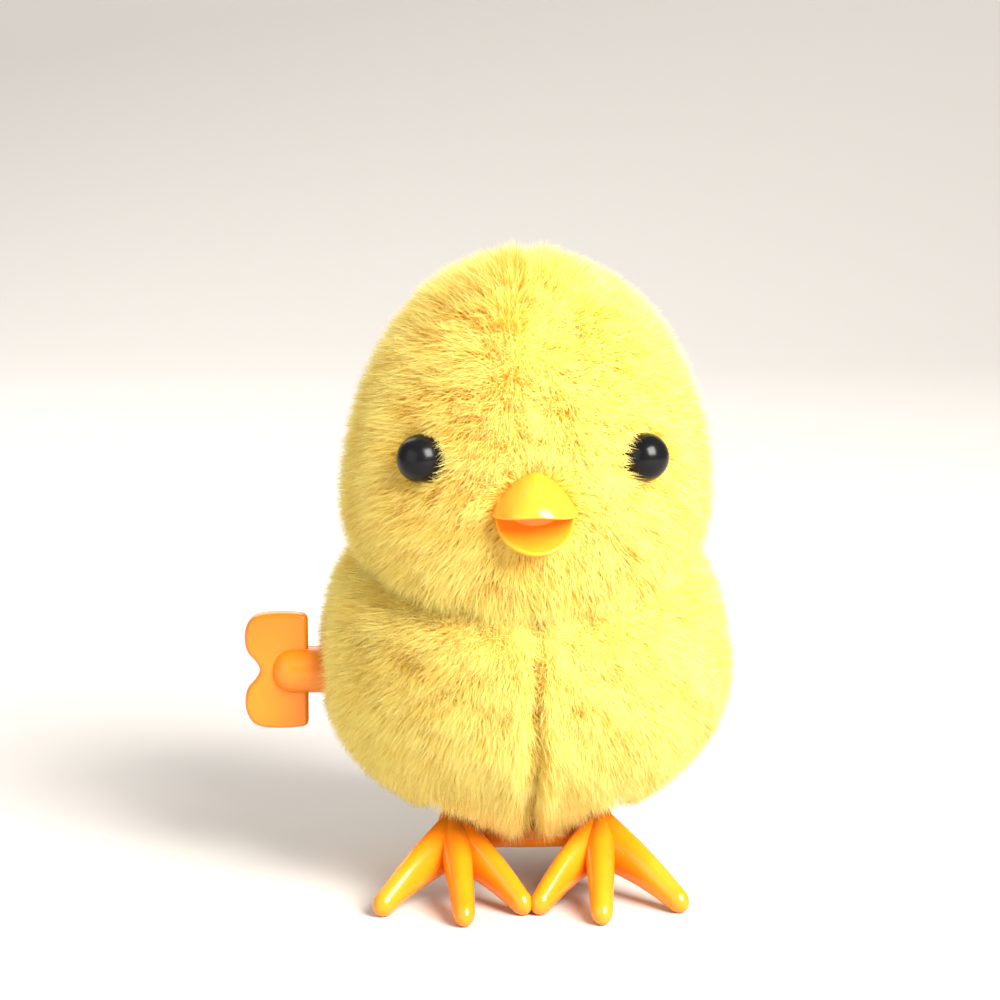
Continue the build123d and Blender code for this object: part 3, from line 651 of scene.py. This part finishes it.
def toe(name, root, tip):
    """Ellipses across a run from the ankle to the tip: half width and half depth fall with the share t of
    the run, the depth faster, and both close as sqrt(1 - ((t - 0.9) / 0.1)^2) over the last tenth."""
    root, tip = np.array(root), np.array(tip)
    share = np.concatenate([np.linspace(-0.06, 0.9, 60), 0.9 + 0.1 * np.sin(np.linspace(0.05, 1.56, 24))])
    t = np.clip(share, 0, 1)
    close = np.sqrt(np.clip(1 - (np.clip(share - 0.9, 0, 0.1) / 0.1) ** 2, 0.0004, 1))
    half_width = (2.5 - 1.0 * t) * MM * close
    half_depth = (1.6 + 2.9 * (1 - t) ** 1.2) * MM * close
    run = (tip - root) / np.linalg.norm(tip - root)
    across = np.cross([0, 0, 1], run)
    across /= np.linalg.norm(across)
    upward = np.cross(run, across)
    bow = 0.7 * MM * np.sin(pi * t)
    turn = np.linspace(0, 2 * pi, 48, endpoint=False)
    flat_top = np.cos(turn)[None, :] * half_width[:, None]
    tall = np.sin(turn)[None, :] * half_depth[:, None]
    middles = root + share[:, None] * (tip - root) + bow[:, None] * upward
    points = middles[:, None] + flat_top[..., None] * across + tall[..., None] * upward
    points[..., 2] = np.maximum(points[..., 2], 0)
    closed_grid(name, points, orange, "feet", "feet")


def hull_plate(name, x_low, x_high, rounds, edge=0.8 * MM):
    """An upright plate between x_low and x_high: its outline is the hull round circles (y, z, radius), drawn
    in by edge (1 - cos) towards each face."""
    turn = np.linspace(0, 2 * pi, 120, endpoint=False)
    way = np.stack([np.cos(turn), np.sin(turn)], -1)
    slide = np.linspace(-pi / 2, pi / 2, 9)
    inset = np.concatenate([[edge * 3], edge * (1 - np.cos(slide)), [edge * 3]])
    x = np.concatenate([[x_low], x_low + edge * (1 + np.sin(slide[:4])), [(x_low + x_high) / 2],
                        x_high - edge * (1 - np.sin(slide[5:])), [x_high]])
    rings = []
    for back in inset:
        reach = np.stack([way @ np.array([y, z]) + max(r - back, 0.05 * MM) for y, z, r in rounds])
        best = reach.argmax(axis=0)
        centre = np.array([(y, z) for y, z, _ in rounds])[best]
        radius = np.array([max(r - back, 0.05 * MM) for _, _, r in rounds])[best]
        rings.append(centre + radius[:, None] * way)
    rings = np.stack(rings)
    points = np.concatenate([np.broadcast_to(x[:, None, None], rings.shape[:2] + (1,)), rings], -1)
    closed_grid(name, points, orange, "feet", "feet")


TIP_Z = 0.9 * MM
for side, hand in ((1, "left"), (-1, "right")):
    for place, y, tip in (
        ("middle", FRONT_Y, (9.9, -5.6)), ("outer", FRONT_Y, (22.6, 0.2)), ("inner", FRONT_Y, (0.45, 0.0)),
        ("rear", REAR_Y, (9.9, 38.0)),
    ):
        toe(f"toe_{place}_{hand}", (side * LEG_X, y, ANKLE_Z), (side * tip[0] * MM, tip[1] * MM, TIP_Z))
    inner, outer = sorted((side * 9.3 * MM, side * 12.3 * MM))
    hull_plate(f"ankle_{hand}", inner, outer, [(FRONT_Y, ANKLE_Z, 3.2 * MM), (REAR_Y, ANKLE_Z, 3.2 * MM)])
    hull_plate(f"leg_{hand}", inner, outer, [(REAR_Y, ANKLE_Z, 3.0 * MM), (PIN[1], PIN[2], 3.2 * MM)])
cam_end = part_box("cam_gear")[1][0]
_, cam_y, cam_z = middle("cam_shaft")
BRIDGE_Y = FRONT_Y + 1.2 * MM
PAD_WIDTH = 2.4 * MM                 # along the shaft, as wide as the cam
PAD_HALF = 1.7 * MM
PAD_CORNER = 0.8 * MM
pad_z = cam_z - 5.4 * MM
pad_rounds = [(cam_y + side * PAD_HALF, z, PAD_CORNER) for z in (pad_z, ANKLE_Z) for side in (-1, 1)]
hull_plate("follower_pad", cam_end - PAD_WIDTH, cam_end, pad_rounds, 0.3 * MM)
hull_plate("follower_arm", cam_end - PAD_WIDTH, cam_end,
           [(BRIDGE_Y, ANKLE_Z, 1.5 * MM), (cam_y + 1.0 * MM, ANKLE_Z, 1.5 * MM)], 0.3 * MM)
hull_plate("foot_bridge", -10 * MM, 10 * MM,
           [(BRIDGE_Y, ANKLE_Z, 1.6 * MM), (BRIDGE_Y + 3.6 * MM, ANKLE_Z, 1.6 * MM)], 0.4 * MM)


# ======================= Studio =======================
def area_light(name, place, target, size, power, colour):
    """A square soft light at a place, facing a target."""
    lamp = bpy.data.lights.new(name, "AREA")
    lamp.size = size
    lamp.energy = power
    lamp.color = colour
    light = bpy.data.objects.new(name, lamp)
    light.location = place
    light.rotation_euler = (Vector(target) - Vector(place)).to_track_quat("-Z", "Y").to_euler()
    bpy.context.collection.objects.link(light)


def studio():
    """A pale floor that curves up behind, a soft key from the right, a weaker fill from the left."""
    size = 3.2
    run = np.linspace(-1, 1, 60)
    profile_y = np.concatenate([np.linspace(-size, 0.6, 20), 0.6 + 0.5 * np.sin(np.linspace(0, pi / 2, 20)),
                                np.full(10, 1.1)])
    profile_z = np.concatenate([np.zeros(20), 0.5 - 0.5 * np.cos(np.linspace(0, pi / 2, 20)),
                                np.linspace(0.5, 2.0, 10)])
    x, index = np.meshgrid(run * size, np.arange(len(profile_y)))
    vertices = np.stack([x, profile_y[index], profile_z[index]], -1).reshape(-1, 3)
    corner = np.arange(len(vertices)).reshape(index.shape)
    faces = np.stack([corner[:-1, :-1], corner[:-1, 1:], corner[1:, 1:], corner[1:, :-1]], -1).reshape(-1, 4)
    material, _, _, shader = new_material("pale_floor")
    shader.inputs["Base Color"].default_value = (0.60, 0.58, 0.56, 1)
    shader.inputs["Roughness"].default_value = 0.9
    floor = mesh_piece("floor", vertices, [faces], material)
    target = (0, 0.02, 0.05)
    area_light("key_light", (0.40, -0.5, 0.50), target, 0.45, 19, (1.0, 0.97, 0.92))
    area_light("fill_light", (-0.6, -0.45, 0.25), target, 0.7, 2.2, (1.0, 0.95, 0.9))
    area_light("rim_light", (-0.15, 0.5, 0.5), target, 0.5, 3, (1.0, 0.98, 0.95))
    world = bpy.data.worlds.new("studio")
    world.use_nodes = True
    world.node_tree.nodes["Background"].inputs["Color"].default_value = (1.0, 0.97, 0.93, 1)
    world.node_tree.nodes["Background"].inputs["Strength"].default_value = 0.5
    bpy.context.scene.world = world
    bpy.context.scene.view_settings.view_transform = "Standard"


def camera(azimuth, elevation, distance, target, lens):
    """A camera that looks at the target from an azimuth and an elevation in degrees."""
    back = Vector((sin(radians(azimuth)) * cos(radians(elevation)),
                   -cos(radians(azimuth)) * cos(radians(elevation)), sin(radians(elevation))))
    data = bpy.data.cameras.new("camera")
    data.lens = lens
    data.sensor_width = 36
    eye = bpy.data.objects.new("camera", data)
    eye.location = Vector(target) + back * distance
    eye.rotation_euler = (-back).to_track_quat("-Z", "Y").to_euler()
    bpy.context.collection.objects.link(eye)
    bpy.context.scene.camera = eye


studio()
camera(-2.5, 10.0, 0.5, (-0.0037, 0.021, 0.0580), 121)
